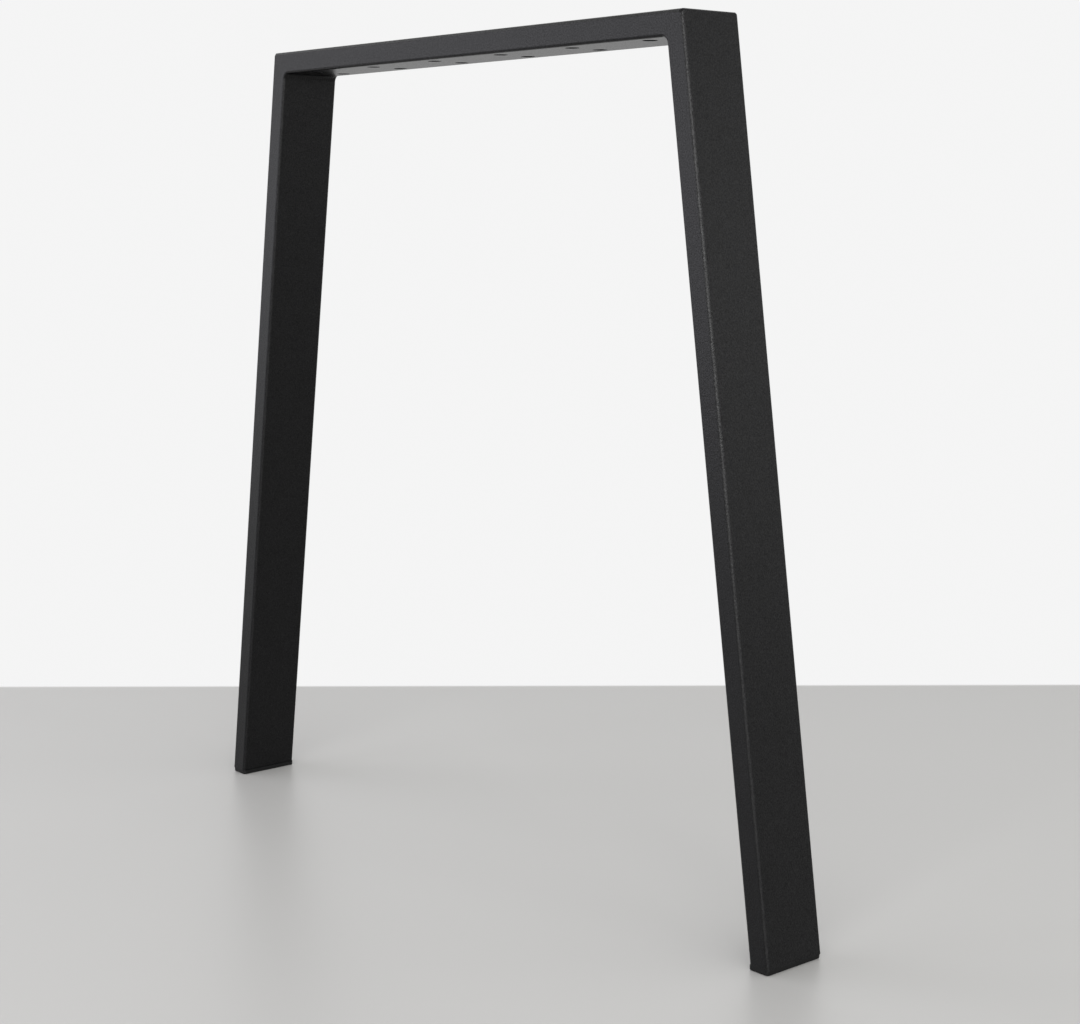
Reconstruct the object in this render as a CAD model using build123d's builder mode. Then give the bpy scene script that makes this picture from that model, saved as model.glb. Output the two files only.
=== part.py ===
from build123d import *
import os
from math import atan2, cos, degrees, pi, sin, tan

# Table leg: a splayed frame of flat rectangular steel tube, mitred and welded at its two
# top corners, drilled for the table top's screws, and closed at the floor by plastic plugs.
# X runs along the rail, Y across the tube's wide side and Z up. The origin is on the floor
# under the middle of the rail. All sizes are millimetres.

# The frame, over the outside of its tubes
height = 720
top_width = 550
foot_width = 750

# The tube, a flat hollow section with its narrow side in the plane of the frame
tube_depth = 60
tube_face = 20
wall = 2
inner_corner = 1

# Screw holes through the rail: narrow ones in its top wall, and wide ones below them that let
# the screw's head and the driver through its underside
screw_hole = 6.5
access_hole = 12
hole_columns = 6
hole_rows = 2
hole_end_margin = 50
hole_side_margin = 15

# The outer corners, ground round where the mitre was welded, and rounder at both ends of its edge
ground_run = 1.2
ground_crown = 0.25
ground_end = 5

# The weld bead inside each corner: its legs along both tubes, and the hollow of its face
weld_leg = 5
weld_hollow = 1.2

# The foot plug: a sole that stands under the tube's end, and a straight stem inside it
sole_thickness = 4
sole_rounding = 1.2
sole_floor = 2.2
stem_height = 12
stem_wall = 1.6
fin_count = 3
fin_thickness = 1
fin_reach = 1.6
plug_clearance = 0.05

# What follows from those sizes
outer_corner = inner_corner + wall
bore_depth = tube_depth - 2 * wall
bore_face = tube_face - 2 * wall
lean = atan2((foot_width - top_width) / 2, height)
half_corner = (pi / 2 + lean) / 2
leg_up = Vector(-sin(lean), 0, cos(lean))


def leg_middle(level):
    """The x of the right leg's centre line at a height above the floor."""
    at_floor = foot_width / 2 - tube_face / 2 / cos(lean)
    return at_floor - level * tan(lean)


def pitch(span, count):
    """The spacing that spreads a row of holes over a span."""
    return span / max(count - 1, 1)


def outer_section():
    """The tube's outside, drawn with its wide side along the sketch's first axis."""
    RectangleRounded(tube_depth, tube_face, outer_corner)


def tube_section():
    """The tube's wall, drawn the same way."""
    outer_section()
    RectangleRounded(bore_depth, bore_face, inner_corner, mode=Mode.SUBTRACT)


def hole_grid(diameter):
    """Holes of one size at every screw's place, spread between the rail's margins."""
    column_pitch = pitch(top_width - 2 * hole_end_margin, hole_columns)
    row_pitch = pitch(tube_depth - 2 * hole_side_margin, hole_rows)
    with GridLocations(column_pitch, row_pitch, hole_columns, hole_rows):
        Circle(diameter / 2)


def corner_directions(side):
    """From the outer corner on one side: along the rail, down the leg, and halfway between."""
    along_rail = Vector(-side, 0)
    down_leg = Vector(side * sin(lean), -cos(lean))
    return along_rail, down_leg, (along_rail + down_leg).normalized()


def mitre_plane(side):
    """The mitre of one corner, facing away from the rail."""
    facing = Vector(side * (1 + sin(lean)), 0, -cos(lean))
    return Plane(origin=(side * top_width / 2, 0, height), x_dir=(0, 1, 0), z_dir=facing)


def ground_corner(side):
    """What grinding takes off one outer corner: a sliver right across the tube, and its two ends."""
    along_rail, down_leg, inward = corner_directions(side)
    corner = Vector(side * top_width / 2, height)
    on_rail = corner + along_rail * ground_run
    on_leg = corner + down_leg * ground_run
    crown = (on_rail + on_leg) / 2 - inward * ground_crown
    with BuildSketch(Plane.XZ) as sliver:
        with BuildLine():
            ThreePointArc(on_rail, crown, on_leg)
            Polyline(on_leg, corner - inward * ground_run, on_rail)
        make_face()
    extrude(sliver.sketch, amount=tube_depth, both=True, mode=Mode.SUBTRACT)
    with BuildSketch(mitre_plane(side)) as ends:
        Rectangle(2 * tube_depth, 2 * ground_end)
        with Locations((0, -side * tube_face)):
            RectangleRounded(tube_depth, 2 * tube_face, ground_end, mode=Mode.SUBTRACT)
    extrude(ends.sketch, amount=tube_face, both=True, mode=Mode.SUBTRACT)


rail_plane = Plane(origin=(0, 0, height - tube_face / 2), x_dir=(0, 1, 0), z_dir=(1, 0, 0))
leg_plane = Plane(origin=(leg_middle(0), 0, 0), x_dir=(0, 1, 0), z_dir=leg_up)
rail_reach = top_width / 2 + tube_face
leg_reach = height / cos(lean) + tube_face

# The rail, mitred at both ends
with BuildPart() as top_rail:
    with BuildSketch(rail_plane):
        tube_section()
    extrude(amount=rail_reach, both=True)
    for side in (-1, 1):
        split(bisect_by=mitre_plane(side), keep=Keep.BOTTOM)
        ground_corner(side)
    with BuildSketch(Plane.XY.offset(height)):
        hole_grid(screw_hole)
    extrude(amount=-tube_face / 2, mode=Mode.SUBTRACT)
    with BuildSketch(Plane.XY.offset(height - tube_face)):
        hole_grid(access_hole)
    extrude(amount=tube_face / 2, mode=Mode.SUBTRACT)

# The right leg, mitred at the rail and cut level just above the floor
with BuildPart() as right_leg:
    with BuildSketch(leg_plane):
        tube_section()
    extrude(amount=leg_reach, both=True)
    split(bisect_by=mitre_plane(1), keep=Keep.TOP)
    split(bisect_by=Plane.XY.offset(sole_thickness), keep=Keep.TOP)
    ground_corner(1)

with BuildPart() as left_leg:
    mirror(right_leg.part, about=Plane.YZ)

# The bead inside the right corner: a block rooted in both tubes, its hollow face rounded at the
# front and back as the tubes are, less the tubes themselves
along_rail, down_leg, inward = corner_directions(1)
inner_point = Vector(top_width / 2, height) + inward * (tube_face / sin(half_corner))
toe_on_rail = inner_point + along_rail * weld_leg
toe_on_leg = inner_point + down_leg * weld_leg
bead_face = (toe_on_rail + toe_on_leg) / 2 - inward * weld_hollow
root = 2 * outer_corner
into_rail = Vector(0, root)
into_leg = Vector(cos(lean), sin(lean)) * root
root_point = inner_point - inward * (root / sin(half_corner))

with BuildPart() as right_weld:
    with BuildSketch(Plane.XZ):
        with BuildLine():
            ThreePointArc(toe_on_rail, bead_face, toe_on_leg)
            Polyline(toe_on_leg, toe_on_leg + into_leg, root_point, toe_on_rail + into_rail, toe_on_rail)
        make_face()
    extrude(amount=tube_depth / 2, both=True)
    hollow_face = right_weld.faces().filter_by(GeomType.CYLINDER)
    fillet(hollow_face.edges().filter_by(GeomType.CIRCLE), outer_corner)
    with BuildSketch(rail_plane):
        outer_section()
    extrude(amount=rail_reach, both=True, mode=Mode.SUBTRACT)
    with BuildSketch(leg_plane):
        outer_section()
    extrude(amount=leg_reach, both=True, mode=Mode.SUBTRACT)

with BuildPart() as left_weld:
    mirror(right_weld.part, about=Plane.YZ)

# The right plug. Its stem is straight and the tube leans, so it settles half the stem's drift
# inward of the tube's end, and each fin bends to the tube's walls at its own height.
bore_width = bore_face / cos(lean)
drift = stem_height * tan(lean)
plug_middle = leg_middle(sole_thickness) - drift / 2
stem_width = bore_width - drift - 2 * fin_reach
stem_depth = bore_depth - 2 * fin_reach
stem_top = sole_thickness + stem_height
fin_pitch = stem_height / fin_count

with BuildPart() as right_foot_plug:
    with BuildSketch():
        with Locations((plug_middle, 0)):
            RectangleRounded(tube_face, tube_depth, outer_corner)
    extrude(amount=sole_thickness)
    fillet(right_foot_plug.faces().sort_by(Axis.Z)[0].edges(), sole_rounding)
    with BuildSketch(Plane.XY.offset(sole_thickness)):
        with Locations((plug_middle, 0)):
            RectangleRounded(stem_width, stem_depth, inner_corner)
    extrude(amount=stem_height)
    for fin in range(fin_count):
        level = sole_thickness + (fin + 1) * fin_pitch - fin_thickness
        with BuildSketch(Plane.XY.offset(level)):
            with Locations((leg_middle(level), 0)):
                RectangleRounded(
                    bore_width - 2 * plug_clearance,
                    bore_depth - 2 * plug_clearance,
                    inner_corner - plug_clearance,
                )
        extrude(amount=fin_thickness / cos(lean), dir=leg_up)
    with BuildSketch(Plane.XY.offset(stem_top)):
        with Locations((plug_middle, 0)):
            Rectangle(stem_width - 2 * stem_wall, stem_depth - 2 * stem_wall)
    extrude(amount=sole_floor - stem_top, mode=Mode.SUBTRACT)

with BuildPart() as left_foot_plug:
    mirror(right_foot_plug.part, about=Plane.YZ)

os.makedirs("parts", exist_ok=True)
top_rail.part.label = "top_rail"
right_leg.part.label = "right_leg"
left_leg.part.label = "left_leg"
right_weld.part.label = "right_weld"
left_weld.part.label = "left_weld"
right_foot_plug.part.label = "right_foot_plug"
left_foot_plug.part.label = "left_foot_plug"
for piece in (top_rail, right_leg, left_leg, right_weld, left_weld, right_foot_plug, left_foot_plug):
    export_step(piece.part, f"parts/{piece.part.label}.step")

print(f"lean {degrees(lean):.2f} degrees, plug centred at x {plug_middle:.2f}")
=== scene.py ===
import math

import bmesh
import bpy
from mathutils import Matrix, Vector


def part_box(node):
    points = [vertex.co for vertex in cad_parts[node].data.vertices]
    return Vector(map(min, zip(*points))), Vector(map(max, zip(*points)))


# The looks of a welded table leg: black powder coat on the tubes, bare steel inside them and
# moulded plastic plugs under them, on a plain pale floor. Lengths are metres, in the part's frame.

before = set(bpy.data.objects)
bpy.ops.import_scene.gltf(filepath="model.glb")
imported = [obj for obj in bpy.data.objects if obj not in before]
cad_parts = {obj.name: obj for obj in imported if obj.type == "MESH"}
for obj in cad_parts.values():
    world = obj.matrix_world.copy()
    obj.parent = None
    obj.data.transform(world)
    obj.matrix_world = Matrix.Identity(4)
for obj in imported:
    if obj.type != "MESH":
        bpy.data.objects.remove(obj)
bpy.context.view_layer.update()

TUBES = ("top_rail", "right_leg", "left_leg")
WELDS = ("right_weld", "left_weld")
PLUGS = ("right_foot_plug", "left_foot_plug")

# Faces of a tube that lie deeper than this under its outside belong to its bore
BORE_DEPTH = 0.0015

# Below, a noise's Scale is in cells per metre, a depth is a relief's height in metres, and a grey is
# a level with the share by which its blue is raised. Each noise runs from the first to the second
# of the greys, roughnesses or sheens beside it.

# The powder coat: clouds of colour, specks of gloss, glints of sheen, orange peel and grain
COAT_IOR = 1.25
COAT_CLOUDS = {"Scale": 55, "Detail": 3.0}
COAT_GREYS = ((0.0018, 0.06), (0.0036, 0.10))
COAT_SPECKS = {"Scale": 420, "Detail": 2.0}
COAT_ROUGHNESS = (0.28, 0.41)
COAT_GLINTS = {"Scale": 900, "Detail": 2.0, "Roughness": 0.6}
COAT_GLINT_RANGE = (0.3, 0.7)
COAT_SHEEN = (0.27, 0.73)
COAT_PEEL = {"Scale": 190, "Detail": 1.0, "Roughness": 0.5}
COAT_PEEL_DEPTH = 0.00012
COAT_GRAIN = {"Scale": 800, "Detail": 1.0, "Roughness": 0.55}
COAT_GRAIN_DEPTH = 0.00014
BEAD_RIPPLES = {"Scale": 125, "Distortion": 1.2, "Detail": 1.0, "Detail_Scale": 0.6}
BEAD_RIPPLE_DEPTH = 0.00012

# The steel inside the tubes: one noise for its colour, gloss and relief
STEEL_METALLIC = 0.8
STEEL_CLOUDS = {"Scale": 140, "Detail": 4.0}
STEEL_GREYS = ((0.07, 0.05), (0.20, 0.04))
STEEL_ROUGHNESS = (0.42, 0.62)
STEEL_DEPTH = 0.00001

# The plugs' plastic: clouds of colour and gloss, and the mould's spark texture
PLUG_IOR = 1.25
PLUG_CLOUDS = {"Scale": 160, "Detail": 2.0}
PLUG_GREYS = ((0.0020, 0.0), (0.0035, 0.0))
PLUG_ROUGHNESS = (0.45, 0.60)
PLUG_SPARK = {"Scale": 3200, "Detail": 2.0}
PLUG_SPARK_DEPTH = 0.000012

# The photograph's camera, fitted to the straight edges of the tubes
PHOTO_WIDTH = 1080
PHOTO_HEIGHT = 1024
FOCAL_PIXELS = 2012.2
CENTRE_PIXEL = (534.3, 472.5)
CAMERA_PLACE = (1.3637, -1.1023, 0.5679)
CAMERA_YAW = math.radians(49.575)
CAMERA_PITCH = math.radians(-7.306)
CAMERA_ROLL = math.radians(-0.108)
SENSOR_WIDTH = 36

# The floor: plain round the leg, white beyond a straight line behind it and far off all round
FLOOR_RADIUS = 9
FLOOR_SEGMENTS = 96
FLOOR_DROP = 0.0002
FLOOR_COLOUR = (0.506, 0.501, 0.487, 1)
FLOOR_ROUGHNESS = 0.4
FLOOR_SPECULAR = 0.8
LINE_START = 0.633
LINE_END = 0.645
FADE_START = 1.4
FADE_END = 3.0

# The light: a white surround, which lights the leg at a lower level, and large soft lamps round it
BACKGROUND_LEVEL = 0.91
FILL_LEVEL = 0.28
WHITE = (1.0, 1.0, 1.0)
COOL = (0.96, 0.96, 1.0)
COOLER = (0.92, 0.915, 1.0)
LAMPS = {
    "overhead_lamp": {"place": (0.2, 0.5, 2.5), "aim": (0.2, 0.1, 0), "size": (2.4, 2.0),
                      "power": 17, "colour": WHITE},
    "left_lamp": {"place": (-1.6, -2.0, 0.74), "aim": (0, 0, 0.55), "size": (2.2, 1.15),
                  "power": 20.3, "colour": COOLER},
    "edge_lamp": {"place": (-1.95, -1.05, 1.85), "aim": (0, 0, 0.7), "size": (1.5, 1.0),
                  "power": 8, "colour": COOL},
    "front_lamp": {"place": (-0.3, -2.62, 0.92), "aim": (0.3, 0, 0.55), "size": (1.7, 0.8),
                   "power": 17, "colour": COOL},
    "key_lamp": {"place": (3.72, -4.04, 1.62), "aim": (0.3, 0, 0.58), "size": (5.4, 1.4),
                 "power": 340, "colour": WHITE},
    "right_lamp": {"place": (5.5, -0.2, 1.62), "aim": (0.3, 0, 0.58), "size": (3.4, 1.4),
                   "power": 85, "colour": WHITE},
    "side_lamp": {"place": (2.4, 1.6, 1.0), "aim": (0.3, 0, 0.6), "size": (1.6, 0.9),
                  "power": 5.0, "colour": WHITE},
}


def shader_tree(owner):
    """Empties the node tree of a material or world and returns a function that adds nodes to it.

    The function takes a node's type, its settings, and its inputs by name, with underscores for
    spaces, or by number, as i0. An input is a value or another node's output.
    """
    owner.use_nodes = True
    tree = owner.node_tree
    tree.nodes.clear()

    def add(kind, settings=None, **inputs):
        made = tree.nodes.new(kind)
        for name, value in (settings or {}).items():
            setattr(made, name, value)
        for name, value in inputs.items():
            key = int(name[1:]) if name[1:].isdigit() else name.replace("_", " ")
            socket = made.inputs[key]
            if isinstance(value, bpy.types.NodeSocket):
                tree.links.new(value, socket)
            else:
                socket.default_value = value
        return made

    return add


def new_material(name):
    """An empty material, the function that adds nodes to it, and the place on the object."""
    material = bpy.data.materials.new(name)
    add = shader_tree(material)
    return material, add, add("ShaderNodeTexCoord").outputs["Object"]


def grey(level, blue=0.0):
    """A neutral colour, or a slightly cool one."""
    return (level, level, level * (1 + blue), 1)


def noise(add, place, pattern):
    return add("ShaderNodeTexNoise", Vector=place, **pattern).outputs["Fac"]


def spread(add, value, ends, start=0.0, stop=1.0):
    """What lies between two ends where the value runs from start to stop."""
    return add("ShaderNodeMapRange", Value=value, From_Min=start, From_Max=stop,
               To_Min=ends[0], To_Max=ends[1]).outputs[0]


def shade(add, value, greys):
    """The colour between two greys."""
    return add("ShaderNodeMix", {"data_type": "RGBA"}, i0=value,
               i6=grey(*greys[0]), i7=grey(*greys[1])).outputs[2]


def relief(add, height, depth, strength=1.0, **under):
    """The normal of a relief, over another's where that is given as Normal."""
    return add("ShaderNodeBump", Strength=strength, Distance=depth, Height=height, **under).outputs[0]


def seen_directly(add):
    """1 for rays from the camera and for reflected and transmitted ones, 0 for the rest."""
    path = add("ShaderNodeLightPath").outputs
    mirrored = add("ShaderNodeMath", {"operation": "MAXIMUM"},
                   i0=path["Is Glossy Ray"], i1=path["Is Transmission Ray"])
    return add("ShaderNodeMath", {"operation": "MAXIMUM"},
               i0=path["Is Camera Ray"], i1=mirrored.outputs[0]).outputs[0]


def coat_relief(add, place, ripple):
    """The grain of a textured powder coat over its orange peel and, on a weld, the bead's ripples."""
    waves = add("ShaderNodeTexWave", {"bands_direction": "Y"}, Vector=place, **BEAD_RIPPLES)
    bead = relief(add, waves.outputs["Fac"], BEAD_RIPPLE_DEPTH, strength=ripple)
    peel = relief(add, noise(add, place, COAT_PEEL), COAT_PEEL_DEPTH, Normal=bead)
    return relief(add, noise(add, place, COAT_GRAIN), COAT_GRAIN_DEPTH, Normal=peel)


def powder_coat(name, ripple=0.0):
    """Black powder coat: a fine satin grain, a little uneven in colour, gloss and sheen."""
    material, add, place = new_material(name)
    colour = shade(add, noise(add, place, COAT_CLOUDS), COAT_GREYS)
    gloss = spread(add, noise(add, place, COAT_SPECKS), COAT_ROUGHNESS)
    sheen = spread(add, noise(add, place, COAT_GLINTS), COAT_SHEEN, *COAT_GLINT_RANGE)
    surface = add("ShaderNodeBsdfPrincipled", Base_Color=colour, Roughness=gloss, IOR=COAT_IOR,
                  Specular_IOR_Level=sheen, Normal=coat_relief(add, place, ripple))
    add("ShaderNodeOutputMaterial", Surface=surface.outputs[0])
    return material


def bare_steel():
    """The mill finish inside the tubes: dark scale, a little uneven."""
    material, add, place = new_material("steel_bare")
    clouds = noise(add, place, STEEL_CLOUDS)
    surface = add("ShaderNodeBsdfPrincipled", Base_Color=shade(add, clouds, STEEL_GREYS),
                  Metallic=STEEL_METALLIC, Roughness=spread(add, clouds, STEEL_ROUGHNESS),
                  Normal=relief(add, clouds, STEEL_DEPTH))
    add("ShaderNodeOutputMaterial", Surface=surface.outputs[0])
    return material


def plug_plastic():
    """Black polyethylene with the fine spark texture of its mould."""
    material, add, place = new_material("plug_plastic_black")
    clouds = noise(add, place, PLUG_CLOUDS)
    surface = add("ShaderNodeBsdfPrincipled", Base_Color=shade(add, clouds, PLUG_GREYS),
                  Roughness=spread(add, clouds, PLUG_ROUGHNESS), IOR=PLUG_IOR,
                  Normal=relief(add, noise(add, place, PLUG_SPARK), PLUG_SPARK_DEPTH))
    add("ShaderNodeOutputMaterial", Surface=surface.outputs[0])
    return material


def dress(name, *materials):
    """Gives a node its own materials, every face the first of them."""
    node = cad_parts[name]
    node.data.materials.clear()
    for material in materials:
        node.data.materials.append(material)
    for face in node.data.polygons:
        face.material_index = 0
    return node


def line_with_steel(node, facing, surface_point, tube_face, tube_depth):
    """Gives the bore of a tube the second material: its faces lie a wall's thickness under the outside.

    facing is the outward normal of one wide side of the tube, and surface_point lies on that side.
    """
    for face in node.data.polygons:
        place = node.matrix_world @ face.center
        under_side = (surface_point - place).dot(facing)
        depth = min(under_side, tube_face - under_side, tube_depth / 2 - abs(place.y))
        if depth > BORE_DEPTH:
            face.material_index = 1


def line_tubes(tubes):
    """Lines the rail and both legs. The legs' outer sides run from the foot's edge to the rail's end."""
    rail_low, rail_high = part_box("top_rail")
    leg_low, leg_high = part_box("right_leg")
    section = (rail_high[2] - rail_low[2], rail_high[1] - rail_low[1])
    lean = math.atan2(leg_high[0] - rail_high[0], leg_high[2] - leg_low[2])
    line_with_steel(tubes["top_rail"], Vector((0, 0, 1)), Vector(rail_high), *section)
    for name, side in (("right_leg", 1), ("left_leg", -1)):
        outward = Vector((side * math.cos(lean), 0, math.sin(lean)))
        foot_edge = Vector((side * leg_high[0], 0, leg_low[2]))
        line_with_steel(tubes[name], outward, foot_edge, *section)


def make_camera():
    data = bpy.data.cameras.new("camera")
    data.sensor_width = SENSOR_WIDTH
    data.lens = SENSOR_WIDTH * FOCAL_PIXELS / PHOTO_WIDTH
    data.shift_x = (PHOTO_WIDTH / 2 - CENTRE_PIXEL[0]) / PHOTO_WIDTH
    data.shift_y = (CENTRE_PIXEL[1] - PHOTO_HEIGHT / 2) / PHOTO_WIDTH
    camera = bpy.data.objects.new("camera", data)
    camera.matrix_world = (
        Matrix.Translation(CAMERA_PLACE)
        @ Matrix.Rotation(CAMERA_YAW, 4, "Z")
        @ Matrix.Rotation(math.pi / 2 + CAMERA_PITCH, 4, "X")
        @ Matrix.Rotation(CAMERA_ROLL, 4, "Z")
    )
    bpy.context.scene.collection.objects.link(camera)
    bpy.context.scene.camera = camera


def make_lamp(name, place, aim, size, power, colour):
    data = bpy.data.lights.new(name, "AREA")
    data.color = colour
    data.shape = "RECTANGLE"
    data.size, data.size_y = size
    data.energy = power
    lamp = bpy.data.objects.new(name, data)
    lamp.location = place
    lamp.rotation_euler = (Vector(aim) - Vector(place)).to_track_quat("-Z", "Y").to_euler()
    bpy.context.scene.collection.objects.link(lamp)


def make_world():
    """White all round for the camera and for reflections, and the soft fill of the leg's light."""
    world = bpy.data.worlds.new("surround")
    add = shader_tree(world)
    level = spread(add, seen_directly(add), (FILL_LEVEL, BACKGROUND_LEVEL))
    light = add("ShaderNodeBackground", Color=grey(1.0), Strength=level)
    add("ShaderNodeOutputWorld", Surface=light.outputs[0])
    world.cycles.sampling_method = "NONE"
    bpy.context.scene.world = world


def pale_floor():
    """Plain round the leg, and white to the camera and in reflections beyond the line and far off.

    From below it is clear, so that a camera under it sees the leg.
    """
    material = bpy.data.materials.new("floor_pale")
    add = shader_tree(material)
    geometry = add("ShaderNodeNewGeometry").outputs
    distance = add("ShaderNodeVectorMath", {"operation": "LENGTH"}, i0=geometry["Position"])
    around = add("ShaderNodeMapRange", {"interpolation_type": "SMOOTHERSTEP"},
                 Value=distance.outputs["Value"], From_Min=FADE_START, From_Max=FADE_END)
    heading = (-math.sin(CAMERA_YAW), math.cos(CAMERA_YAW), 0)
    onward = add("ShaderNodeVectorMath", {"operation": "DOT_PRODUCT"},
                 i0=geometry["Position"], i1=heading)
    behind = add("ShaderNodeMapRange", {"interpolation_type": "SMOOTHERSTEP"},
                 Value=onward.outputs["Value"], From_Min=LINE_START, From_Max=LINE_END)
    fade = add("ShaderNodeMath", {"operation": "MAXIMUM"}, i0=around.outputs[0], i1=behind.outputs[0])
    whitened = add("ShaderNodeMath", {"operation": "MULTIPLY"},
                   i0=fade.outputs[0], i1=seen_directly(add))
    plain = add("ShaderNodeBsdfPrincipled", Base_Color=FLOOR_COLOUR, Roughness=FLOOR_ROUGHNESS,
                Specular_IOR_Level=FLOOR_SPECULAR)
    white = add("ShaderNodeEmission", Color=grey(1.0), Strength=BACKGROUND_LEVEL)
    from_above = add("ShaderNodeMixShader",
                     i0=whitened.outputs[0], i1=plain.outputs[0], i2=white.outputs[0])
    from_below = add("ShaderNodeBsdfTransparent")
    surface = add("ShaderNodeMixShader",
                  i0=geometry["Backfacing"], i1=from_above.outputs[0], i2=from_below.outputs[0])
    add("ShaderNodeOutputMaterial", Surface=surface.outputs[0])
    return material


def make_floor():
    mesh = bpy.data.meshes.new("floor")
    shape = bmesh.new()
    bmesh.ops.create_circle(shape, cap_ends=True, segments=FLOOR_SEGMENTS, radius=FLOOR_RADIUS)
    bmesh.ops.translate(shape, verts=shape.verts, vec=(0, 0, -FLOOR_DROP))
    shape.to_mesh(mesh)
    shape.free()
    floor = bpy.data.objects.new("floor", mesh)
    bpy.context.scene.collection.objects.link(floor)
    mesh.materials.append(pale_floor())


make_camera()
make_world()
for name, lamp in LAMPS.items():
    make_lamp(name, **lamp)
make_floor()

coat = powder_coat("powder_coat_black")
bead_coat = powder_coat("powder_coat_on_weld", ripple=1.0)
steel = bare_steel()
plastic = plug_plastic()
line_tubes({name: dress(name, coat, steel) for name in TUBES})
for name in WELDS:
    dress(name, bead_coat)
for name in PLUGS:
    dress(name, plastic)

bpy.context.scene.view_settings.view_transform = "Standard"
